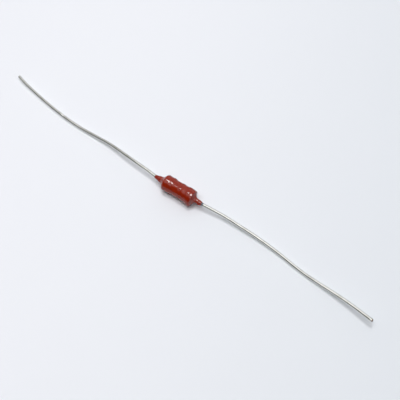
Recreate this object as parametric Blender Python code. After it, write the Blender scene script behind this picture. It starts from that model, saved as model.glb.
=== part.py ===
"""An axial inductor: a wound ferrite drum on two bent wire leads, dipped in a red coat.

The part lies on the floor z = 0 as it would come to rest. Its body's axis runs along X.
Every piece of the body is modelled about that axis and placed by one empty on it.
"""

import math

import bmesh
import bpy
from mathutils import Matrix, Vector

MM = 0.001

# Clearances between pieces that touch in the real part
FIT = 0.02 * MM  # round a lead, and between core, cement, solder and coat
WIRE_FIT = 0.03 * MM  # round the fine winding wire

# Leads of tinned copper wire
LEAD_DIAMETER = 0.6 * MM
LEFT_REACH = 35.33 * MM  # from the coat's end to the lead's end, along the body's axis
RIGHT_REACH = 35.2 * MM

# Ferrite drum core
CORE_LENGTH = 5.0 * MM
FLANGE_DIAMETER = 2.4 * MM
FLANGE_THICKNESS = 0.8 * MM
FLANGE_CHAMFER = 0.08 * MM
CORE_WAIST_DIAMETER = 1.7 * MM
LEAD_HOLE_DEPTH = 1.2 * MM
SLOT_CLEARANCE = 0.08 * MM  # on each side of the wire, in the slot that leads it over a flange
SLOT_STEP = 0.02 * MM  # the slot's floor stays this far above the waist

# Cement that holds each lead in its hole
CEMENT_WALL = 0.11 * MM
CEMENT_FLOOR = 0.1 * MM

# Winding of enamelled copper wire
WIRE_DIAMETER = 0.14 * MM
TURN_GAP = 0.025 * MM  # between turns in the groove
SLOT_BEND = 0.25 * MM  # radius in which the wire bends from its last turn into the slot
EDGE_BEND = 0.12 * MM  # radius in which it bends from the slot down the core's end face
TAIL_FIT = 0.04 * MM  # between the core's end face and the tail that runs down it
TAIL_SWEEP = 1.6  # radians that the tail turns while it comes down to the lead
LEAD_WRAPS = 2  # turns of each tail round its lead
WRAP_GAP = 0.04 * MM  # between those turns

# Solder on each wrapped tail
SOLDER_WALL = 0.08 * MM
SOLDER_TAPER = 0.5 * MM
TAPER_HOLLOW = (0.4, 0.35)  # share of the taper's length, and of its height there

# Dipped coat
COAT_WALL = 0.3 * MM  # over the flanges
COAT_WAIST_WALL = 0.31 * MM  # over the winding
COAT_STEP = 0.1 * MM  # length in which the coat's inside comes down from a flange to the winding
BULGE_EDGE = 0.07 * MM  # how far the bulge over a flange has come down at the groove
SHOULDER_EDGE = 0.02 * MM  # how far it has come down at its shoulder
LEFT_SHOULDER = 0.3 * MM  # from the core's end to the shoulder's ridge
RIGHT_SHOULDER = 0.4 * MM
LEFT_CONE = 1.0 * MM  # meniscus that runs from the shoulder down to the neck
RIGHT_CONE = 0.9 * MM
LEFT_NECK = 1.32 * MM
RIGHT_NECK = 1.05 * MM
COAT_LEAN = 0.04  # how far the dipped ends lean towards -X at the back, for each length of radius

# How each cone is hollow: share of its length, share of the way from the neck's surface up to
# the bulge's
LEFT_HOLLOW = [(0.13, 0.91), (0.27, 0.7), (0.45, 0.46), (0.7, 0.19), (1.0, 0.0)]
RIGHT_HOLLOW = [(0.11, 0.96), (0.2, 0.83), (0.33, 0.53), (0.5, 0.28), (0.72, 0.1), (1.0, 0.0)]

# The coat's wall along each neck, out to its lip: share of the neck's length, wall in mm
LEFT_NECK_WALL = [(0.0, 0.27), (0.27, 0.21), (0.53, 0.12), (0.8, 0.06), (1.0, 0.02)]
RIGHT_NECK_WALL = [(0.0, 0.16), (0.24, 0.12), (0.48, 0.13), (0.71, 0.12), (0.9, 0.09), (1.0, 0.03)]

# The body's axis lies in front of the part's middle, because the left lead bends further back
AXIS_PLACE = -0.75 * MM

# Each lead's route as drawn, in mm: how far past the coat's end, how far behind the body's axis,
# and how far its underside is above the floor. It is scaled so that it ends at the lead's reach.
LEFT_ROUTE = [
    (1.93, 0.22, 1.20),
    (5.23, 0.48, 1.11),
    (8.33, 0.81, 0.89),
    (11.43, 1.12, 0.56),
    (14.53, 1.17, 0.22),
    (17.63, 1.14, 0.04),
    (21.03, 1.26, 0.01),
    (24.33, 1.60, 0.01),
    (26.93, 1.98, 0.01),
    (29.63, 2.46, 0.01),
    (33.13, 3.15, 0.06),
    (35.33, 3.74, 0.12),
]
RIGHT_ROUTE = [
    (1.7, 0.17, 1.06),
    (4.6, 0.42, 0.80),
    (7.4, 0.40, 0.67),
    (10.2, 0.38, 0.53),
    (13.0, 0.28, 0.33),
    (15.9, 0.04, 0.13),
    (18.6, -0.34, 0.03),
    (21.5, -0.72, 0.03),
    (24.3, -0.94, 0.23),
    (27.0, -1.16, 0.58),
    (29.7, -1.44, 0.94),
    (32.4, -1.81, 1.22),
    (35.2, -2.23, 1.45),
]

# Swells and hollows left by the dip: place as a share of the way from the body's middle to the
# coat's right end, degrees round it from the top towards the back, height in mm, half length in
# mm and half spread in degrees
SWELLS = [
    (0.02, 65, 0.1, 2.0, 50),
    (-0.32, 65, 0.09, 0.35, 40),
    (0.07, 62, 0.09, 0.4, 40),
    (0.38, 62, 0.09, 0.45, 40),
    (-0.15, 20, 0.03, 0.4, 30),
    (0.22, -30, 0.03, 0.5, 35),
    (-0.66, -20, 0.03, 0.45, 60),
    (0.58, -105, 0.07, 0.4, 30),
    (-0.61, -115, -0.06, 0.3, 40),
    (-0.84, 65, 0.04, 0.4, 50),
    (0.8, -115, -0.06, 0.35, 60),
    (0.87, -115, 0.12, 0.2, 45),
]
LEAN_TOWARDS = 65  # degrees round the axis from the top towards the back, where the lean shows

# How finely the round forms are cut
BODY_SIDES = 32
JOINT_SIDES = 24  # of the cement and the solder
TURN_STEPS = 20  # points in a turn of the winding
WRAP_STEPS = 14  # points in a turn of a tail round its lead
BEND_STEPS = 4
OUTLINE_STEPS = 2  # rings between two points of the coat's outline
LEAD_STEP = 0.8 * MM

# Sizes worked out from the ones above
LEAD_RADIUS = LEAD_DIAMETER / 2
WIRE_RADIUS = WIRE_DIAMETER / 2
CORE_END = CORE_LENGTH / 2
GROOVE_END = CORE_END - FLANGE_THICKNESS
FLANGE_RADIUS = FLANGE_DIAMETER / 2
CORE_WAIST_RADIUS = CORE_WAIST_DIAMETER / 2
LEAD_BORE = LEAD_RADIUS + FIT
HOLE_RADIUS = LEAD_BORE + CEMENT_WALL + FIT
HOLE_FLOOR = CORE_END - LEAD_HOLE_DEPTH
LEAD_START = HOLE_FLOOR + FIT + CEMENT_FLOOR + FIT
SLOT_FLOOR = CORE_WAIST_RADIUS + SLOT_STEP
SLOT_WIDTH = WIRE_DIAMETER + 2 * SLOT_CLEARANCE
COIL_RADIUS = CORE_WAIST_RADIUS + WIRE_FIT + WIRE_RADIUS
SLOT_RUN_RADIUS = SLOT_FLOOR + WIRE_FIT + WIRE_RADIUS
WRAP_RADIUS = LEAD_RADIUS + WIRE_FIT + WIRE_RADIUS
TAIL_PLANE = CORE_END + TAIL_FIT + WIRE_RADIUS
CAVITY_END = TAIL_PLANE + WIRE_RADIUS + WIRE_FIT
SOLDER_BORE = WRAP_RADIUS + WIRE_RADIUS + WIRE_FIT
SOLDER_RADIUS = SOLDER_BORE + SOLDER_WALL
SOLDER_START = CAVITY_END + FIT
TURN_PITCH = WIRE_DIAMETER + TURN_GAP
WRAP_PITCH = WIRE_DIAMETER + WRAP_GAP
WRAPS_END = TAIL_PLANE + LEAD_WRAPS * WRAP_PITCH
SOLDER_CLOSE = WRAPS_END + WIRE_RADIUS + WIRE_FIT
SOLDER_END = SOLDER_CLOSE + SOLDER_TAPER
TAPER_MIDDLE = SOLDER_CLOSE + TAPER_HOLLOW[0] * SOLDER_TAPER
TAPER_RADIUS = LEAD_BORE + TAPER_HOLLOW[1] * (SOLDER_RADIUS - LEAD_BORE)
BODY_RADIUS = FLANGE_RADIUS + COAT_WALL
COAT_WAIST_RADIUS = COIL_RADIUS + WIRE_RADIUS + COAT_WAIST_WALL
LEFT_END = CORE_END + LEFT_SHOULDER + LEFT_CONE + LEFT_NECK
RIGHT_END = CORE_END + RIGHT_SHOULDER + RIGHT_CONE + RIGHT_NECK
AXIS_HEIGHT = max(BODY_RADIUS, COAT_WAIST_RADIUS)


def clear_scene():
    for item in list(bpy.data.objects):
        bpy.data.objects.remove(item, do_unlink=True)


def material(name, color, roughness, metallic=0.0):
    made = bpy.data.materials.new(name)
    made.use_nodes = True
    shader = made.node_tree.nodes["Principled BSDF"]
    shader.inputs["Base Color"].default_value = (*color, 1.0)
    shader.inputs["Roughness"].default_value = roughness
    shader.inputs["Metallic"].default_value = metallic
    made.diffuse_color = (*color, 1.0)
    return made


def smooth_path(points, steps):
    """A smooth curve through the points, with a number of steps between each two of them."""
    ends = [2 * points[0] - points[1], *points, 2 * points[-1] - points[-2]]
    path = []
    for before, start, end, after in zip(ends, ends[1:], ends[2:], ends[3:]):
        for step in range(steps):
            t = step / steps
            path.append(
                0.5 * (
                    2 * start
                    + (end - before) * t
                    + (2 * before - 5 * start + 4 * end - after) * t ** 2
                    + (3 * start - before - 3 * end + after) * t ** 3
                )
            )
    path.append(points[-1].copy())
    return path


def even_path(path, spacing):
    """The same path with its points about evenly spaced, and both ends kept."""
    lengths = [(b - a).length for a, b in zip(path, path[1:])]
    count = max(2, round(sum(lengths) / spacing))
    step = sum(lengths) / count
    spaced = [path[0]]
    travelled = 0.0
    for length, a, b in zip(lengths, path, path[1:]):
        while len(spaced) < count and travelled + length >= len(spaced) * step:
            spaced.append(a.lerp(b, (len(spaced) * step - travelled) / length))
        travelled += length
    return [*spaced, path[-1]]


def around(x, radius, angle):
    """A point round the body's axis, with the angle from the top towards the back."""
    return Vector((x, radius * math.sin(angle), radius * math.cos(angle)))


def ring(x, radius, sides=BODY_SIDES):
    return [around(x, radius, math.tau * i / sides) for i in range(sides)]


def body_of_rings(name, rings, finish, parent, closed_on_itself):
    """A closed mesh over a row of rings, which ends in caps or comes back to its first ring."""
    mesh = bmesh.new()
    loops = [[mesh.verts.new(point) for point in points] for points in rings]
    following = loops[1:] + loops[:1] if closed_on_itself else loops[1:]
    for loop, after in zip(loops, following):
        for i, vertex in enumerate(loop):
            j = (i + 1) % len(loop)
            mesh.faces.new((vertex, loop[j], after[j], after[i]))
    if not closed_on_itself:
        mesh.faces.new(reversed(loops[0]))
        mesh.faces.new(loops[-1])
    bmesh.ops.recalc_face_normals(mesh, faces=mesh.faces)
    data = bpy.data.meshes.new(name)
    mesh.to_mesh(data)
    mesh.free()
    data.shade_smooth()
    data.set_sharp_from_angle(angle=math.radians(35))
    return place(name, data, finish, parent)


def wire(name, path, radius, rounding, finish, parent):
    """A round wire along a path, with flat cut ends."""
    curve = bpy.data.curves.new(name, "CURVE")
    curve.dimensions = "3D"
    curve.bevel_depth = radius
    curve.bevel_resolution = rounding
    curve.use_fill_caps = True
    spline = curve.splines.new("POLY")
    spline.points.add(len(path) - 1)
    for point, place_on_path in zip(spline.points, path):
        point.co = (*place_on_path, 1.0)
    return place(name, curve, finish, parent)


def place(name, data, finish, parent):
    made = bpy.data.objects.new(name, data)
    data.materials.append(finish)
    bpy.context.scene.collection.objects.link(made)
    made.parent = parent
    return made


def body_axis():
    """An empty on the body's axis, above the spot where the body touches the floor."""
    axis = bpy.data.objects.new("body_axis", None)
    axis.location = (0, AXIS_PLACE, AXIS_HEIGHT)
    bpy.context.scene.collection.objects.link(axis)
    bpy.context.view_layer.update()
    return axis


def half_core_rings():
    """The core's right half, from the waist over the flange to the bottom of the lead's hole."""
    return [
        (GROOVE_END, CORE_WAIST_RADIUS),
        (GROOVE_END, FLANGE_RADIUS - FLANGE_CHAMFER),
        (GROOVE_END + FLANGE_CHAMFER, FLANGE_RADIUS),
        (CORE_END - FLANGE_CHAMFER, FLANGE_RADIUS),
        (CORE_END, FLANGE_RADIUS - FLANGE_CHAMFER),
        (CORE_END, HOLE_RADIUS),
        (HOLE_FLOOR, HOLE_RADIUS),
    ]


def both_halves(right_half):
    """Places of a symmetric outline from its left end to its right end."""
    return [(-x, radius) for x, radius in reversed(right_half) if x > 0] + right_half


def slot_cutter(side, parent):
    """A block that cuts the wire's slot in the top of one flange."""
    mesh = bmesh.new()
    overrun = FLANGE_CHAMFER
    size = (FLANGE_THICKNESS + 2 * overrun, SLOT_WIDTH, FLANGE_RADIUS)
    bmesh.ops.create_cube(mesh, size=1.0, matrix=Matrix.Diagonal((*size, 1.0)))
    middle = Vector((side * (GROOVE_END + CORE_END) / 2, 0, SLOT_FLOOR + FLANGE_RADIUS / 2))
    bmesh.ops.translate(mesh, vec=middle, verts=mesh.verts)
    name = "slot_cutter_left" if side < 0 else "slot_cutter_right"
    data = bpy.data.meshes.new(name)
    mesh.to_mesh(data)
    mesh.free()
    cutter = bpy.data.objects.new(name, data)
    bpy.context.scene.collection.objects.link(cutter)
    cutter.parent = parent
    cutter.hide_render = True
    cutter.display_type = "WIRE"
    return cutter


def make_core(finish, parent):
    rings = [ring(x, radius) for x, radius in both_halves(half_core_rings())]
    core = body_of_rings("ferrite_core", rings, finish, parent, closed_on_itself=False)
    for side in (-1, 1):
        cut = core.modifiers.new("wire slot", "BOOLEAN")
        cut.operation = "DIFFERENCE"
        cut.solver = "EXACT"
        cut.object = slot_cutter(side, parent)
    return core


def tail_points():
    """The winding's right tail as (x, radius, turn angle), from the last turn outwards.

    It bends out of the groove into the slot, runs over the flange, bends down the core's end
    face, comes in to the lead in a spiral and is wrapped round it.
    """
    points = []
    bend_start = GROOVE_END - WIRE_RADIUS - SLOT_BEND
    for step in range(BEND_STEPS + 1):
        turned = math.pi / 2 * step / BEND_STEPS
        along = bend_start + SLOT_BEND * (1 - math.cos(turned))
        before_slot = SLOT_BEND * (1 - math.sin(turned))
        points.append((along, COIL_RADIUS, -before_slot / COIL_RADIUS))
    for step in range(BEND_STEPS + 1):
        turned = math.pi / 2 * step / BEND_STEPS
        along = TAIL_PLANE - EDGE_BEND * (1 - math.sin(turned))
        points.append((along, SLOT_RUN_RADIUS - EDGE_BEND * (1 - math.cos(turned)), 0.0))
    spiral_start = SLOT_RUN_RADIUS - EDGE_BEND
    for step in range(1, 2 * BEND_STEPS + 1):
        turned = math.pi / 2 * step / (2 * BEND_STEPS)
        radius = spiral_start + (WRAP_RADIUS - spiral_start) * math.sin(turned)
        points.append((TAIL_PLANE, radius, TAIL_SWEEP * (1 - math.cos(turned))))
    for step in range(1, LEAD_WRAPS * WRAP_STEPS + 1):
        turns = step / WRAP_STEPS
        angle = TAIL_SWEEP + math.tau * turns
        points.append((TAIL_PLANE + turns * WRAP_PITCH, WRAP_RADIUS, angle))
    return points


def make_winding(finish, parent):
    """One layer of turns in the groove, with a tail at each end."""
    tail = tail_points()
    helix_end = tail[0][0] - TURN_PITCH / TURN_STEPS
    turns = int(2 * helix_end / TURN_PITCH)
    half_angle = math.pi * turns
    last_angle = half_angle + tail[0][2] - math.tau / TURN_STEPS
    count = round(last_angle / math.tau * TURN_STEPS)
    helix = []
    for i in range(-count, count + 1):
        share = i / count
        helix.append((share * helix_end, COIL_RADIUS, share * last_angle))
    right = [(x, radius, half_angle + angle) for x, radius, angle in tail]
    left = [(-x, radius, -angle) for x, radius, angle in reversed(right)]
    path = [around(x, radius, angle + half_angle) for x, radius, angle in [*left, *helix, *right]]
    return wire("winding", path, WIRE_RADIUS, 1, finish, parent)


def make_cement(side, name, finish, parent):
    """A cup of cement between the lead and its blind hole in the core."""
    outside = HOLE_RADIUS - FIT
    outline = [
        (HOLE_FLOOR + FIT, outside),
        (CORE_END - FIT, outside),
        (CORE_END - FIT, LEAD_BORE),
        (LEAD_START - FIT, LEAD_BORE),
    ]
    rings = [ring(side * x, radius, JOINT_SIDES) for x, radius in outline]
    return body_of_rings(name, rings, finish, parent, closed_on_itself=False)


def make_solder(side, name, finish, parent):
    """A bell of solder over the wraps, which runs out thin along the lead."""
    outline = [
        (SOLDER_START, SOLDER_BORE),
        (SOLDER_START, SOLDER_RADIUS),
        (SOLDER_CLOSE, SOLDER_RADIUS),
        (TAPER_MIDDLE, TAPER_RADIUS),
        (SOLDER_END, LEAD_BORE + FIT),
        (SOLDER_END, LEAD_BORE),
        (SOLDER_CLOSE, LEAD_BORE),
        (SOLDER_CLOSE, SOLDER_BORE),
    ]
    rings = [ring(side * x, radius, JOINT_SIDES) for x, radius in outline]
    return body_of_rings(name, rings, finish, parent, closed_on_itself=True)


def make_lead(name, side, coat_end, route, reach, finish, parent):
    """A stiff wire from its hole in the core, straight through the neck and along its bends."""
    start = Vector((side * LEAD_START, 0, 0))
    bends = [Vector((side * coat_end, 0, 0))]
    unit = reach / route[-1][0]
    for past_coat, behind, lift in route:
        height = LEAD_RADIUS + lift * unit - AXIS_HEIGHT
        bends.append(Vector((side * (coat_end + past_coat * unit), behind * unit, height)))
    path = [start, *even_path(smooth_path(bends, 8), LEAD_STEP)]
    return wire(name, path, LEAD_RADIUS, 4, finish, parent)


def coat_end_outline(shoulder, cone, hollow, neck, walls):
    """The coat's outside past the core's end: its shoulder, its hollow cone, and its neck."""
    ridge = CORE_END + shoulder
    neck_radius = LEAD_BORE + walls[0][1] * MM
    corners = [(ridge, BODY_RADIUS - SHOULDER_EDGE)]
    for share, height in hollow:
        radius = neck_radius + height * (BODY_RADIUS - neck_radius)
        corners.append((ridge + share * cone, radius))
    for share, wall in walls[1:]:
        corners.append((ridge + cone + share * neck, LEAD_BORE + wall * MM))
    return corners


def outer_coat_outline():
    """The coat's outside from its left lip to its right one, with the waist in its middle."""
    bulge = [
        (GROOVE_END / 2, COAT_WAIST_RADIUS + SHOULDER_EDGE),
        (GROOVE_END, BODY_RADIUS - BULGE_EDGE),
        (CORE_END, BODY_RADIUS),
    ]
    left = coat_end_outline(LEFT_SHOULDER, LEFT_CONE, LEFT_HOLLOW, LEFT_NECK, LEFT_NECK_WALL)
    right = coat_end_outline(RIGHT_SHOULDER, RIGHT_CONE, RIGHT_HOLLOW, RIGHT_NECK, RIGHT_NECK_WALL)
    corners = [(-x, radius) for x, radius in reversed(bulge + left)]
    corners += [(0.0, COAT_WAIST_RADIUS), *bulge, *right]
    outline = smooth_path([Vector((*corner, 0)) for corner in corners], OUTLINE_STEPS)
    return [(v.x, v.y) for v in outline]


def inner_coat_outline():
    """The coat's inside, from left to right: it follows the winding, flanges, solder and leads."""
    right = [
        (GROOVE_END - FIT - COAT_STEP, COIL_RADIUS + WIRE_RADIUS + WIRE_FIT),
        (GROOVE_END - FIT, FLANGE_RADIUS + FIT),
        (CAVITY_END, FLANGE_RADIUS + FIT),
        (CAVITY_END, SOLDER_RADIUS + FIT),
        (SOLDER_CLOSE + FIT, SOLDER_RADIUS + FIT),
        (TAPER_MIDDLE + FIT, TAPER_RADIUS + FIT),
        (SOLDER_END + FIT, LEAD_BORE + 2 * FIT),
        (SOLDER_END + 2 * FIT, LEAD_BORE),
    ]
    return [(-LEFT_END, LEAD_BORE), *both_halves(right), (RIGHT_END, LEAD_BORE)]


def swell(x, angle):
    """How far the coat stands proud of its turned form at one place."""
    height = 0.0
    for share, degrees, rise, half_length, half_spread in SWELLS:
        along = (x - share * RIGHT_END) / (half_length * MM)
        apart = math.remainder(angle - math.radians(degrees), math.tau)
        around_it = apart / math.radians(half_spread)
        height += rise * MM * math.exp(-(along ** 2) - around_it ** 2)
    return height


def coat_ring(x, radius):
    """One ring of the coat's outside, leaning and swollen as the dip left it."""
    points = []
    for i in range(BODY_SIDES):
        angle = math.tau * i / BODY_SIDES
        towards = math.cos(angle - math.radians(LEAN_TOWARDS))
        lean = COAT_LEAN * (radius - LEAD_RADIUS) * towards
        points.append(around(x - lean, radius + swell(x, angle), angle))
    return points


def make_coating(finish, parent):
    """The dipped coat, a shell that is open only where the two leads come out."""
    rings = [coat_ring(x, radius) for x, radius in outer_coat_outline()]
    rings += [ring(x, radius) for x, radius in reversed(inner_coat_outline())]
    return body_of_rings("coating", rings, finish, parent, closed_on_itself=True)


def main():
    clear_scene()
    axis = body_axis()
    coat = material("red coat", (0.25, 0.025, 0.012), 0.16)
    tin = material("tinned wire", (0.66, 0.66, 0.65), 0.24, 1.0)
    ferrite = material("ferrite", (0.035, 0.034, 0.036), 0.6)
    enamel = material("enamelled copper", (0.55, 0.19, 0.06), 0.25, 1.0)
    solder = material("solder", (0.55, 0.55, 0.56), 0.35, 1.0)
    cement = material("cement", (0.55, 0.5, 0.38), 0.6)
    make_core(ferrite, axis)
    make_winding(enamel, axis)
    for side, end in ((-1, "left"), (1, "right")):
        make_cement(side, f"cement_{end}", cement, axis)
        make_solder(side, f"solder_{end}", solder, axis)
    make_lead("lead_left", -1, LEFT_END, LEFT_ROUTE, LEFT_REACH, tin, axis)
    make_lead("lead_right", 1, RIGHT_END, RIGHT_ROUTE, RIGHT_REACH, tin, axis)
    make_coating(coat, axis)


main()
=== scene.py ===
"""Looks of an axial choke: a glossy red dipped coat and two tinned leads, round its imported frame.

Lengths are in metres, in the frame's own axes. The body's axis runs along X, and the part lies
on the floor z = 0.
"""

import math

import bmesh
import bpy
from mathutils import Matrix, Vector, noise


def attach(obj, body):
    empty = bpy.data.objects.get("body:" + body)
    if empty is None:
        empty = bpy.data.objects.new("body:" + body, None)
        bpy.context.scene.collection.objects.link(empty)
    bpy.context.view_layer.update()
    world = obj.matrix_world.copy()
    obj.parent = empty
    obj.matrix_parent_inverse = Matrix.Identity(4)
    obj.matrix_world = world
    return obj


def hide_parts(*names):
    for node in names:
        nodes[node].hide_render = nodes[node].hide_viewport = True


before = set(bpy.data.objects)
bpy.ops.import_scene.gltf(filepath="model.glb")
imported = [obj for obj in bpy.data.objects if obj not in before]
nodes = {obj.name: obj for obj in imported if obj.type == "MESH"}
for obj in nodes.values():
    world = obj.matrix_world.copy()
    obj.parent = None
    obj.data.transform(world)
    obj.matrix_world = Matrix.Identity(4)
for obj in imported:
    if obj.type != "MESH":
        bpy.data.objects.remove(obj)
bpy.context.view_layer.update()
bpy.ops.object.select_all(action="DESELECT")

MM = 0.001
BODY_AXIS = Vector((0, -0.75 * MM, 1.5 * MM))  # the body's middle, on its axis
LEAD_RADIUS = 0.3 * MM
LEAD_START = 1.44 * MM  # from the body's middle to the bottom of the lead's hole

# The coat's outline in mm, from its left lip to its right one: place along the axis and radius
COAT_OUTSIDE = [
    (-5.12, 0.34),
    (-4.85, 0.38),
    (-4.5, 0.44),
    (-4.15, 0.53),
    (-3.8, 0.59),
    (-3.5, 0.76),
    (-3.25, 1.0),
    (-3.07, 1.22),
    (-2.93, 1.41),
    (-2.8, 1.48),
    (-2.5, 1.5),
    (-1.7, 1.43),
    (-0.85, 1.35),
    (0.0, 1.33),
    (0.85, 1.35),
    (1.7, 1.43),
    (2.5, 1.5),
    (2.9, 1.48),
    (3.0, 1.46),
    (3.08, 1.33),
    (3.2, 1.02),
    (3.35, 0.77),
    (3.55, 0.58),
    (3.8, 0.48),
    (4.05, 0.44),
    (4.3, 0.45),
    (4.55, 0.44),
    (4.75, 0.41),
    (4.85, 0.35),
]

# The coat's inside in mm, on both sides of the middle: place along the axis and radius
COAT_INSIDE = [
    (1.58, 1.05),
    (1.68, 1.22),
    (2.71, 1.22),
    (2.71, 0.6),
    (3.09, 0.6),
    (3.29, 0.431),
    (3.59, 0.36),
    (3.61, 0.32),
]

# How far the coat reaches from the middle on each side
LEFT_END, RIGHT_END = (abs(COAT_OUTSIDE[end][0]) * MM for end in (0, -1))

COAT_LEAN = 0.04  # how far the coat's ends lean towards -X, for each length of radius
LEAN_TOWARDS = math.radians(65)  # round the axis from the top towards the back
COAT_SIDES = 128
COAT_STEPS = 6  # rings between two points of the outline
LEAST_WEIGHT = 0.001  # the share of the largest height below which nothing is painted

# Swells and hollows left by the dip: share of the way to the coat's right end, degrees from the
# top towards the back, rise in mm, half length in mm and half spread in degrees
SWELLS = [
    (0.02, 65, 0.1, 2.0, 50),
    (-0.32, 65, 0.09, 0.35, 40),
    (0.07, 62, 0.09, 0.4, 40),
    (0.38, 62, 0.09, 0.45, 40),
    (-0.15, 20, 0.03, 0.4, 30),
    (0.22, -30, 0.03, 0.5, 35),
    (-0.66, -20, 0.03, 0.45, 60),
    (0.58, -105, 0.07, 0.4, 30),
    (-0.61, -115, -0.06, 0.3, 40),
    (-0.84, 65, 0.04, 0.4, 50),
    (0.8, -115, -0.06, 0.35, 60),
    (0.87, -115, 0.12, 0.2, 45),
]

# The lacquer's low runs, listed as the swells are, and its waves
RUNS = [
    (-0.1, -12, 0.03, 0.3, 12),
    (0.06, -10, 0.04, 0.3, 13),
    (0.2, -14, 0.035, 0.25, 11),
    (0.41, -10, 0.045, 0.26, 14),
]
WAVE_HEIGHT = 0.035 * MM
WAVE_SIZE = 0.5 * MM
WAVE_START = Vector((21.4, 12.6, 15.2))
WAVE_TOWARDS = math.radians(50)  # where the waves are whole, from the top towards the back
WAVE_FADE = 0.8  # the share of them that is lost on the other side

# Each lead's route in mm: past the coat's end, behind the axis, underside above the floor
LEFT_ROUTE = [
    (1.93, 0.22, 1.20),
    (5.23, 0.48, 1.11),
    (8.33, 0.81, 0.89),
    (11.43, 1.12, 0.56),
    (14.53, 1.17, 0.22),
    (17.63, 1.14, 0.04),
    (21.03, 1.26, 0.01),
    (24.33, 1.60, 0.01),
    (26.93, 1.98, 0.01),
    (29.63, 2.46, 0.01),
    (33.13, 3.15, 0.06),
    (35.33, 3.74, 0.12),
]
RIGHT_ROUTE = [
    (1.7, 0.17, 1.06),
    (4.6, 0.42, 0.80),
    (7.4, 0.40, 0.67),
    (10.2, 0.38, 0.53),
    (13.0, 0.28, 0.33),
    (15.9, 0.04, 0.13),
    (18.6, -0.34, 0.03),
    (21.5, -0.72, 0.03),
    (24.3, -0.94, 0.23),
    (27.0, -1.16, 0.58),
    (29.7, -1.44, 0.94),
    (32.4, -1.81, 1.22),
    (35.2, -2.23, 1.45),
]
LEAD_SIDES = 24
FACING = 0.9  # the cosine within which a face looks along the rod

# The angle past which an edge stays sharp
COAT_SHARP = math.radians(40)
ROD_SHARP = math.radians(35)

ROD_CUTS = 250  # across each rod, so that it can bend
PATH_STEPS = 8  # pieces of the lead's path between two of its bends
RIM_WIDTH = 0.04 * MM  # the tin pressed over the edge of each snip
RIM_HEIGHT = 0.02 * MM
SNIP_LENGTH = 0.1 * MM  # the end of the rod that leans with its snip

LEFT, RIGHT = -1, 1

# How far each side's snip leans from square
SNIP_SLANTS = {LEFT: math.radians(-8), RIGHT: math.radians(25)}

# Marks of the pliers on each side's lead: mm from the body's middle, degrees from the top towards
# the back, depth in mm, half length in mm and half spread in degrees
NICKS = {
    LEFT: [(27.55, -10, 0.07, 0.16, 45), (27.8, -60, 0.04, 0.12, 40)],
    RIGHT: [(10.5, 0, 0.03, 0.25, 50), (38.2, 10, 0.05, 0.2, 60)],
}

# The camera stands as the photograph's did
VIEW_ELEVATION = math.radians(60)
VIEW_AZIMUTH = math.radians(34.75)
VIEW_DISTANCE = 150 * MM
VIEW_SCALE = 5.67 / MM  # pixels a metre at the body
VIEW_PIXELS = 400
BODY_PIXEL = (178.9, 190.4)

# The key lamp: where it stands from the part, how large it is, and how brightly it lights a white
# surface that faces it
KEY_TOWARDS = Vector((-0.12, 0.16, 0.98))
KEY_DISTANCE = 0.4
KEY_WIDTH = 0.125
KEY_LEVEL = 0.38

# The room's levels: on matt surfaces, as shiny ones show them, and behind the part
OVERHEAD_LEVEL = 4.95
LEFT_WALL_LEVEL = 0.69
RIGHT_WALL_LEVEL = 0.5
CEILING_LEVEL = 1.45
CEILING_FALL = 0.85  # how much darker the ceiling shows behind the part
CORNICE_LEVEL = 0.5
SIDE_LEVEL = 0.8
DIM_LEVEL = 0.02
BACKDROP_COLOR = (0.82, 0.84, 0.89, 1)

# The table's colour darkens between two places along a direction over it, in mm: a painted falloff
# of light
TABLE_SIZE = 3.0
TABLE_FALLOFF_TOWARDS = (0.95, 0.31)
TABLE_PAINTED_FALLOFF = (-40.0, 80.0)

# Colours of the finishes: each pair is blended over the piece
COAT_COLORS = (0.232, 0.015, 0.003, 1), (0.26, 0.0175, 0.0038, 1)
TIN_COLORS = (0.78, 0.79, 0.75, 1), (0.66, 0.67, 0.62, 1)
# The colour of a darker ring on the right wire just past the coat's lip
DARK_RING_COLOR = (0.16, 0.17, 0.19, 1)
COPPER_COLORS = (0.26, 0.15, 0.1, 1), (0.14, 0.125, 0.115, 1)
FERRITE_COLORS = (0.025, 0.024, 0.026, 1), (0.055, 0.053, 0.056, 1)
ENAMEL_COLORS = (0.55, 0.17, 0.05, 1), (0.62, 0.24, 0.08, 1)
SOLDER_COLORS = (0.48, 0.48, 0.49, 1), (0.64, 0.64, 0.65, 1)
CEMENT_COLORS = (0.46, 0.41, 0.3, 1), (0.62, 0.57, 0.45, 1)
# The table's lit colour, then the darker painted shade at the far end of its falloff
TABLE_LIT_AND_SHADED_COLORS = (0.81, 0.824, 0.871, 1), (0.68, 0.714, 0.758, 1)


class Reading:
    """A value that varies over a surface. Sums of readings become Math nodes."""

    def __init__(self, finish, socket):
        self.finish = finish
        self.socket = socket

    def maths(self, operation, *values):
        return self.finish.node("ShaderNodeMath", {"operation": operation}, dict(enumerate(values)))

    def __add__(self, other):
        return self.maths("ADD", self, other)

    def __sub__(self, other):
        return self.maths("SUBTRACT", self, other)

    def __rsub__(self, other):
        return self.maths("SUBTRACT", other, self)

    def __mul__(self, other):
        return self.maths("MULTIPLY", self, other)

    def __truediv__(self, other):
        return self.maths("DIVIDE", self, other)

    def __abs__(self):
        return self.maths("ABSOLUTE", self)

    __radd__ = __add__
    __rmul__ = __mul__

    def rise(self, low, high):
        """0 below low, 1 above high, and smooth between them."""
        ends = {"Value": self, "From Min": low, "From Max": high}
        return self.finish.node("ShaderNodeMapRange", {"interpolation_type": "SMOOTHSTEP"}, ends)


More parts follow.
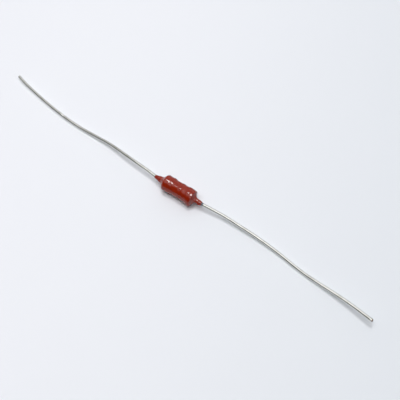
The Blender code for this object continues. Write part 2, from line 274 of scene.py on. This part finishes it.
class Finish:
    """A procedural material for one of the part's pieces."""

    def __init__(self, name):
        self.material = bpy.data.materials.new(name)
        self.material.use_nodes = True
        self.tree = self.material.node_tree
        self.shader = self.tree.nodes["Principled BSDF"]

    def node(self, kind, settings=None, inputs=None, output=0):
        made = self.tree.nodes.new(kind)
        for key, value in (settings or {}).items():
            setattr(made, key, value)
        for key, value in (inputs or {}).items():
            self.feed(made.inputs[key], value)
        return Reading(self, made.outputs[output])

    def feed(self, socket, value):
        if isinstance(value, Reading):
            self.tree.links.new(value.socket, socket)
        else:
            socket.default_value = value

    def set(self, **values):
        for name, value in values.items():
            self.feed(self.shader.inputs[name.replace("_", " ").title()], value)

    def place(self, stretch=(1, 1, 1), attribute=None):
        """The place on the piece in mm, or a stored place, stretched along its axes."""
        if attribute:
            read = self.node("ShaderNodeAttribute", {"attribute_name": attribute}, output="Vector")
        else:
            read = self.node("ShaderNodeTexCoord", output="Object")
        scale = [factor / MM for factor in stretch]
        return self.node("ShaderNodeMapping", {}, {"Vector": read, "Scale": scale})

    def along(self, place, axis):
        return self.node("ShaderNodeSeparateXYZ", {}, {"Vector": place}, output=axis)

    def noise(self, place, scale, detail=2.0, roughness=0.5):
        inputs = {"Vector": place, "Scale": scale, "Detail": detail, "Roughness": roughness}
        return self.node("ShaderNodeTexNoise", {}, inputs)

    def blend(self, mask, first, second):
        inputs = {0: mask, 6: first, 7: second}
        return self.node("ShaderNodeMix", {"data_type": "RGBA"}, inputs, output=2)

    def bump(self, height, depth, under=None):
        inputs = {"Strength": 1.0, "Distance": depth, "Height": height}
        if under:
            inputs["Normal"] = under
        return self.node("ShaderNodeBump", {}, inputs)


class Room(Finish):
    """The room's light as a world: what lights matt surfaces, what shiny ones show, a backdrop."""

    def __init__(self):
        world = bpy.data.worlds.new("room")
        world.use_nodes = True
        bpy.context.scene.world = world
        self.tree = world.node_tree

    def glow(self, strength, color=(1, 1, 1, 1)):
        return self.node("ShaderNodeBackground", {}, {"Strength": strength, "Color": color})

    def choose(self, rays, other, chosen):
        """Shows the chosen light to rays of one kind and the other light to the rest."""
        kind = self.node("ShaderNodeLightPath", output=rays)
        return self.node("ShaderNodeMixShader", {}, {0: kind, 1: other, 2: chosen})

    def matt(self, x, y, z):
        """What lights matt surfaces from a direction: a panel overhead and two dim walls."""
        aside, ahead = (x + 0.05) / 0.5, (y + 0.23) / 0.19
        overhead = (1 - (aside * aside + ahead * ahead).rise(0.7, 1.3)) * z.rise(0.0, 0.1)
        left_wall = (0.8 * y - 0.6 * x).rise(0.1, 0.5) * z.rise(0.2, 0.35)
        right_wall = (0.7 * x + 0.7 * z).rise(0.9, 0.98)
        walls = LEFT_WALL_LEVEL * left_wall + RIGHT_WALL_LEVEL * right_wall
        return OVERHEAD_LEVEL * overhead + walls

    def shiny(self, x, y, z):
        """What shiny surfaces show in a direction: a pale ceiling, dimmer to the left and back."""
        leftward = (0 - x).rise(0.4, 0.52)
        # It reaches forwards apart from a gap left of the middle and all of the far left
        reach = 0.25 * (abs(x + 0.285).rise(0.04, 0.14) - leftward)
        front = (y + reach).rise(-0.48, -0.18)
        ceiling = CEILING_LEVEL * front - CEILING_FALL * y.rise(0.05, 0.6)
        ceiling = ceiling + CORNICE_LEVEL * y.rise(0.85, 0.93)
        shade = (0.6 - 0.35 * y.rise(-0.1, 0.5)) * leftward
        ceiling = ceiling * z.rise(0.12, 0.27) * (1 - shade)
        return DIM_LEVEL + ceiling + SIDE_LEVEL * abs(x).rise(0.65, 0.9)

    def light(self):
        direction = self.node("ShaderNodeTexCoord", output="Generated")
        axes = [self.along(direction, axis) for axis in range(3)]
        matt, shiny = self.glow(self.matt(*axes)), self.glow(self.shiny(*axes))
        lit = self.choose("Is Glossy Ray", matt, shiny)
        room = self.choose("Is Camera Ray", lit, self.glow(1.0, BACKDROP_COLOR))
        self.feed(self.tree.nodes["World Output"].inputs["Surface"], room)


def smooth_path(points, steps):
    """A smooth curve through the points, with a number of steps between each two of them."""
    ends = [2 * points[0] - points[1], *points, 2 * points[-1] - points[-2]]
    path = []
    for before, start, end, after in zip(ends, ends[1:], ends[2:], ends[3:]):
        for step in range(steps):
            t = step / steps
            bend = (2 * before - 5 * start + 4 * end - after) * t ** 2
            turn = (3 * start - before - 3 * end + after) * t ** 3
            path.append(0.5 * (2 * start + (end - before) * t + bend + turn))
    path.append(points[-1].copy())
    return path


def edit(piece, selected="SELECT"):
    bpy.context.view_layer.objects.active = piece
    piece.select_set(True)
    bpy.ops.object.mode_set(mode="EDIT")
    bpy.ops.mesh.select_all(action=selected)


def select_where(piece, kind, test):
    """Selects the vertices, edges or faces of the piece in edit mode that pass the test."""
    mesh = bmesh.from_edit_mesh(piece.data)
    for part in (mesh.faces, mesh.edges, mesh.verts):
        for item in part:
            item.select = False
    for item in getattr(mesh, kind):
        if test(item):
            item.select_set(True)
    bmesh.update_edit_mesh(piece.data)


def close_edit(piece):
    bpy.ops.object.mode_set(mode="OBJECT")
    bpy.ops.object.transform_apply(location=True, rotation=True, scale=True)
    piece.select_set(False)


def apply_modifier(piece, kind, **settings):
    """Adds a modifier to the piece and applies it."""
    bpy.context.view_layer.objects.active = piece
    piece.select_set(True)
    modifier = piece.modifiers.new(kind.lower(), kind)
    for key, value in settings.items():
        setattr(modifier, key, value)
    bpy.ops.object.modifier_apply(modifier=modifier.name)
    piece.select_set(False)


def paint(piece, group, heights):
    """Gives the piece a vertex group whose weights are shares of the largest height."""
    painted = piece.vertex_groups.new(name=group)
    largest = max(heights)
    for index, height in enumerate(heights):
        if height > largest * LEAST_WEIGHT:
            painted.add([index], height / largest, "REPLACE")
    return largest


def round_body(place):
    """A place on the body as (along the axis, radius, angle from the top towards the back)."""
    offset = place - BODY_AXIS
    return offset.x, math.hypot(offset.y, offset.z), math.atan2(offset.y, offset.z)


def rounded_mark(past_middle, angle, degrees, rise, half_length, half_spread):
    """The height of a rounded mark at a place past its middle and round the piece."""
    along = past_middle / (half_length * MM)
    around = math.remainder(angle - math.radians(degrees), math.tau) / math.radians(half_spread)
    return rise * MM * math.exp(-along ** 2 - around ** 2)


def swell(place):
    """How far the coat stands out of its round outline at a place on it."""
    x, radius, angle = round_body(place)
    x += COAT_LEAN * (radius - LEAD_RADIUS) * math.cos(angle - LEAN_TOWARDS)
    marks = (rounded_mark(x - share * RIGHT_END, angle, *size) for share, *size in SWELLS + RUNS)
    left_over = 1 - WAVE_FADE * (1 - math.cos(angle - WAVE_TOWARDS)) / 2
    waves = WAVE_HEIGHT * left_over * noise.noise(place / WAVE_SIZE + WAVE_START)
    return sum(marks) + waves


def coat_rings():
    """The coat's rings as (x, radius, lean), outside from left to right and back inside."""
    curve = smooth_path([Vector((x, radius, 0)) * MM for x, radius in COAT_OUTSIDE], COAT_STEPS)
    outside = [(point.x, point.y, COAT_LEAN * (point.y - LEAD_RADIUS)) for point in curve]
    bore = COAT_INSIDE[-1][1] * MM
    inside = [(outside[-1][0], bore, 0.0)]
    inside += [(x * MM, radius * MM, 0.0) for x, radius in reversed(COAT_INSIDE)]
    inside += [(-x * MM, radius * MM, 0.0) for x, radius in COAT_INSIDE]
    inside.append((outside[0][0], bore, 0.0))
    return outside, inside


def dipped_coat():
    """The coat, drawn out ring by ring from a circle at its left lip."""
    outside, inside = coat_rings()
    rings = outside + inside
    x, radius, lean = rings[0]
    slope = lean / radius
    facing = Vector((1, slope * math.sin(LEAN_TOWARDS), slope * math.cos(LEAN_TOWARDS)))
    bpy.ops.mesh.primitive_circle_add(
        vertices=COAT_SIDES,
        radius=radius,
        location=BODY_AXIS + Vector((x, 0, 0)),
        rotation=facing.to_track_quat("Z", "Y").to_euler(),
    )
    coat = bpy.context.object
    coat.name = "dipped_coat"
    edit(coat)
    for before, after in zip(rings, rings[1:]):
        steepen = after[2] / before[2] if before[2] else 1.0
        widen = after[1] / before[1]
        bpy.ops.mesh.extrude_region_move(
            TRANSFORM_OT_translate={"value": (after[0] - before[0], 0, 0)}
        )
        bpy.ops.transform.resize(
            value=(steepen, widen, widen),
            center_override=BODY_AXIS + Vector((after[0], 0, 0)),
        )
    select_where(coat, "edges", lambda edge: edge.is_boundary)
    bpy.ops.mesh.bridge_edge_loops()
    bpy.ops.mesh.select_all(action="SELECT")
    bpy.ops.mesh.normals_make_consistent(inside=False)
    close_edit(coat)
    outer = coat.data.vertices[:len(outside) * COAT_SIDES]
    heights = [swell(vertex.co) for vertex in outer]
    for group, sign in (("swells", 1), ("hollows", -1)):
        largest = paint(coat, group, [max(sign * height, 0.0) for height in heights])
        apply_modifier(coat, "DISPLACE", vertex_group=group, strength=sign * largest, mid_level=0)
    finish_surface(coat, COAT_SHARP)
    return coat


def finish_surface(piece, sharp):
    bpy.context.view_layer.objects.active = piece
    piece.select_set(True)
    bpy.ops.object.shade_smooth_by_angle(angle=sharp)
    piece.select_set(False)


def lead_path(side, coat_end, route):
    """The lead's middle line, from its hole in the core to its cut end."""
    bends = [BODY_AXIS + Vector((side * coat_end, 0, 0))]
    for past_coat, behind, lift in route:
        x = side * (coat_end + past_coat * MM)
        bends.append(Vector((x, BODY_AXIS.y + behind * MM, LEAD_RADIUS + lift * MM)))
    return [BODY_AXIS + Vector((side * LEAD_START, 0, 0)), *smooth_path(bends, PATH_STEPS)]


def nick_depth(side, place):
    """How deep the pliers' marks are at a place on the straight rod."""
    angle = math.atan2(side * place.y, place.z)
    x = place.x + LEAD_START
    return sum(rounded_mark(x - middle * MM, angle, *size) for middle, *size in NICKS[side])


def tinned_lead(name, side, coat_end, route):
    """A straight drawn rod with a snipped end, bent along its route."""
    path = lead_path(side, coat_end, route)
    length = sum((b - a).length for a, b in zip(path, path[1:]))
    bpy.ops.mesh.primitive_cylinder_add(
        vertices=LEAD_SIDES,
        radius=LEAD_RADIUS,
        depth=length,
        location=(length / 2, 0, 0),
        rotation=(0, math.pi / 2, 0),
    )
    rod = bpy.context.object
    rod.name = name
    bpy.ops.object.transform_apply(location=True, rotation=True, scale=True)
    edit(rod, "DESELECT")
    select_where(rod, "edges", lambda e: abs(e.verts[0].co.x - e.verts[1].co.x) > length / 2)
    bpy.ops.mesh.subdivide(number_cuts=ROD_CUTS)
    select_where(rod, "faces", lambda face: face.normal.x > FACING)
    bpy.ops.mesh.inset(thickness=RIM_WIDTH, depth=RIM_HEIGHT)
    select_where(rod, "verts", lambda vertex: vertex.co.x > length - SNIP_LENGTH)
    slant = SNIP_SLANTS[side]
    bpy.ops.transform.rotate(
        value=slant,
        orient_axis="Y",
        center_override=(length, 0, -math.copysign(LEAD_RADIUS, slant)),
    )
    close_edit(rod)
    depths = [nick_depth(side, vertex.co) for vertex in rod.data.vertices]
    deepest = paint(rod, "nicks", depths)
    apply_modifier(rod, "DISPLACE", vertex_group="nicks", strength=-deepest, mid_level=0)
    drawn = rod.data.attributes.new("as_drawn", "FLOAT_VECTOR", "POINT")
    for vertex, stored in zip(rod.data.vertices, drawn.data):
        stored.vector = (side * vertex.co.x, vertex.co.y, vertex.co.z)
    bend_along(rod, path)
    finish_surface(rod, ROD_SHARP)
    return rod


def bend_along(rod, path):
    curve = bpy.data.curves.new("route", "CURVE")
    curve.dimensions = "3D"
    curve.twist_mode = "Z_UP"
    spline = curve.splines.new("POLY")
    spline.points.add(len(path) - 1)
    for point, place in zip(spline.points, path):
        point.co = (*place, 1.0)
    route = bpy.data.objects.new("route", curve)
    bpy.context.scene.collection.objects.link(route)
    apply_modifier(rod, "CURVE", object=route, deform_axis="POS_X")
    bpy.data.objects.remove(route)


def coat_finish():
    finish = Finish("dipped lacquer")
    place = finish.place()
    broad = finish.noise(place, 0.8, 2.0)
    grain = finish.noise(place, 9.0, 3.0)
    color = finish.blend(broad.rise(0.35, 0.7), *COAT_COLORS)
    finish.set(
        base_color=color,
        roughness=0.05 + 0.05 * grain,
        normal=finish.bump(grain, 0.0008 * MM),
    )
    return finish.material


def cut_copper():
    finish = Finish("snipped copper")
    smear = finish.noise(finish.place(), 9.0, 3.0)
    color = finish.blend(smear.rise(0.4, 0.6), *COPPER_COLORS)
    finish.set(base_color=color, metallic=1.0, roughness=0.35 + 0.2 * smear)
    finish.set(normal=finish.bump(smear, 0.004 * MM))
    return finish.material


def tin_finish():
    """Drawn tin, with a darker ring on the right wire just past the coat's lip."""
    finish = Finish("tinned wire")
    drawn = finish.place((0.15, 1, 1), "as_drawn")
    lines = finish.noise(drawn, 14.0, 3.0)
    patches = finish.noise(finish.place(attribute="as_drawn"), 0.7, 3.0)
    color = finish.blend(patches.rise(0.4, 0.75), *TIN_COLORS)
    past_hole = finish.along(finish.place(attribute="as_drawn"), 0) + 0.15 * lines
    # A darker ring on the right wire, 3.3 to 3.95 mm past the bottom of its hole
    dark_ring = past_hole.rise(3.3, 3.4) * (1 - past_hole.rise(3.7, 3.95))
    color = finish.blend(dark_ring, color, DARK_RING_COLOR)
    finish.set(
        base_color=color,
        metallic=1.0,
        roughness=0.06 + 0.08 * patches + 0.03 * lines,
        normal=finish.bump(lines, 0.0006 * MM, finish.bump(patches, 0.006 * MM)),
    )
    return finish.material


def ferrite_finish():
    finish = Finish("fired ferrite")
    grain = finish.noise(finish.place(), 12.0, 4.0, 0.6)
    color = finish.blend(grain, *FERRITE_COLORS)
    finish.set(base_color=color, roughness=0.5 + 0.25 * grain)
    finish.set(normal=finish.bump(grain, 0.012 * MM))
    return finish.material


def enamel_finish():
    finish = Finish("enamelled copper")
    hue = finish.noise(finish.place(), 1.5, 2.0)
    drawn = finish.noise(finish.place((6, 1, 1)), 5.0, 2.0)
    color = finish.blend(hue.rise(0.35, 0.65), *ENAMEL_COLORS)
    finish.set(base_color=color, metallic=1.0, roughness=0.2 + 0.12 * drawn)
    finish.set(normal=finish.bump(drawn, 0.002 * MM))
    return finish.material


def solder_finish():
    finish = Finish("solder")
    mottle = finish.noise(finish.place(), 5.0, 3.0)
    color = finish.blend(mottle, *SOLDER_COLORS)
    finish.set(base_color=color, metallic=1.0, roughness=0.28 + 0.2 * mottle)
    finish.set(normal=finish.bump(mottle, 0.01 * MM))
    return finish.material


def cement_finish():
    finish = Finish("set cement")
    grain = finish.noise(finish.place(), 14.0, 4.0, 0.65)
    color = finish.blend(grain, *CEMENT_COLORS)
    finish.set(base_color=color, roughness=0.55 + 0.2 * grain)
    finish.set(normal=finish.bump(grain, 0.01 * MM))
    return finish.material


def dress(piece, material):
    piece.data.materials.clear()
    piece.data.materials.append(material)


def bare_ends(rod, copper):
    """Shows the copper on the rod's two cut faces, its only ones with many sides."""
    rod.data.materials.append(copper)
    for face in rod.data.polygons:
        face.material_index = int(len(face.vertices) > 4)


def stand_in(piece, node, material):
    dress(piece, material)
    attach(piece, "root")
    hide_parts(node)


def camera_axes():
    back = Vector((
        math.sin(VIEW_AZIMUTH) * math.cos(VIEW_ELEVATION),
        -math.cos(VIEW_AZIMUTH) * math.cos(VIEW_ELEVATION),
        math.sin(VIEW_ELEVATION),
    ))
    right = Vector((math.cos(VIEW_AZIMUTH), math.sin(VIEW_AZIMUTH), 0))
    return right, back.cross(right), back


def photo_camera():
    """The photograph's camera: its lens and place put the body on its pixel."""
    right, up, back = camera_axes()
    focal = VIEW_SCALE * VIEW_DISTANCE
    across = (VIEW_PIXELS / 2 - BODY_PIXEL[0]) / focal * VIEW_DISTANCE
    above = (BODY_PIXEL[1] - VIEW_PIXELS / 2) / focal * VIEW_DISTANCE
    data = bpy.data.cameras.new("photo camera")
    data.lens = focal / VIEW_PIXELS * data.sensor_width
    data.clip_start = 1 * MM
    camera = bpy.data.objects.new("photo camera", data)
    rows = Matrix((right, up, back)).transposed().to_4x4()
    rows.translation = BODY_AXIS + back * VIEW_DISTANCE + right * across + up * above
    camera.matrix_world = rows
    bpy.context.scene.collection.objects.link(camera)
    bpy.context.scene.camera = camera


def key_lamp():
    """A round lamp that lights a white surface facing it to the key's level."""
    data = bpy.data.lights.new("key", "AREA")
    data.shape = "DISK"
    data.size = KEY_WIDTH
    data.energy = KEY_LEVEL * math.pi ** 2 * KEY_DISTANCE ** 2
    key = bpy.data.objects.new("key", data)
    towards = KEY_TOWARDS.normalized()
    key.location = towards * KEY_DISTANCE
    key.rotation_euler = towards.to_track_quat("Z", "Y").to_euler()
    bpy.context.scene.collection.objects.link(key)
    return key


def shade_from(light, pieces):
    """Keeps the lamp's light off the pieces."""
    shaded = bpy.data.collections.new("shaded from the " + light.name)
    light.light_linking.receiver_collection = shaded
    for piece in pieces:
        shaded.objects.link(piece)
    for entry in shaded.collection_objects:
        entry.light_linking.link_state = "EXCLUDE"


def studio(wires):
    """A pale table with a painted falloff of light across it, under soft light, whose small key
    lamp doesn't show in the wires.
    """
    bpy.ops.mesh.primitive_plane_add(size=TABLE_SIZE)
    table = bpy.context.object
    table.name = "table"
    table.select_set(False)
    finish = Finish("pale table")
    place = finish.place()
    across, back = (finish.along(place, axis) * TABLE_FALLOFF_TOWARDS[axis] for axis in range(2))
    # Painted shade: the table's colour grades from lit to darker, standing in for the falloff of
    # light across it
    color = finish.blend((across + back).rise(*TABLE_PAINTED_FALLOFF), *TABLE_LIT_AND_SHADED_COLORS)
    finish.set(base_color=color, roughness=0.6 + 0.1 * finish.noise(place, 0.05))
    dress(table, finish.material)

    shade_from(key_lamp(), wires)
    Room().light()


stand_in(dipped_coat(), "coating", coat_finish())
tin = tin_finish()
left = tinned_lead("tinned_lead_left", LEFT, LEFT_END, LEFT_ROUTE)
right = tinned_lead("tinned_lead_right", RIGHT, RIGHT_END, RIGHT_ROUTE)
stand_in(left, "lead_left", tin)
stand_in(right, "lead_right", tin)
copper = cut_copper()
for lead in (left, right):
    bare_ends(lead, copper)
dress(nodes["ferrite_core"], ferrite_finish())
dress(nodes["winding"], enamel_finish())
solder, cement = solder_finish(), cement_finish()
for end in ("left", "right"):
    dress(nodes[f"solder_{end}"], solder)
    dress(nodes[f"cement_{end}"], cement)
photo_camera()
studio((left, right))
bpy.context.scene.view_settings.view_transform = "Standard"
